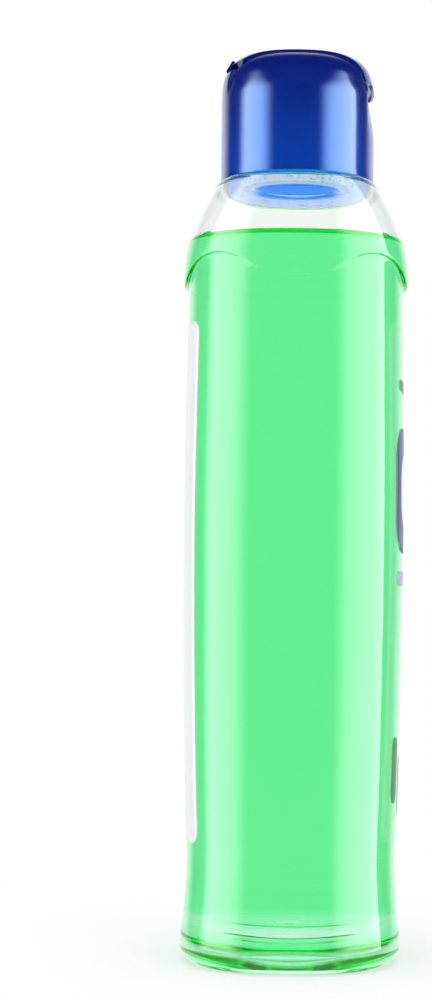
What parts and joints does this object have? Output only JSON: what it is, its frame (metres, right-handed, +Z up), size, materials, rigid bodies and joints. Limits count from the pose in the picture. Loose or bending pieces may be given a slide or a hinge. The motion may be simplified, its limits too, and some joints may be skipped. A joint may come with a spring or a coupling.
{
  "type": "shower gel bottle",
  "caption": "Clear oval bottle of green shower gel with a draped shoulder edge, a plain label front and back, and a blue flip-top cap.",
  "frame": {"origin": "middle of the standing ring, on the surface that the bottle stands on", "axes": "+Z up the bottle, the front label faces -Y, the lid hinge is on the +Y side, X runs across the labels"},
  "size_m": [0.0772, 0.0618, 0.2493],
  "materials": {
    "clear_plastic": "clear, glossy",
    "green_gel": "clear liquid",
    "blue_plastic": "high gloss",
    "clear_film": "satin",
    "white_film": "satin"
  },
  "bodies": {
    "filled_bottle": {"bottle": "clear_plastic", "shower_gel": "green_gel", "cap_body": "blue_plastic", "front_label": "clear_film", "back_label": "white_film"},
    "lid": {"flip_lid": "blue_plastic"}
  },
  "joints": [
    {"name": "lid_hinge", "type": "hinge", "parent": "filled_bottle", "child": "lid", "pos_m": [0, 0.0175, 0.245], "axis": [-1, 0, 0], "range_deg": [0, 150]}
  ]
}
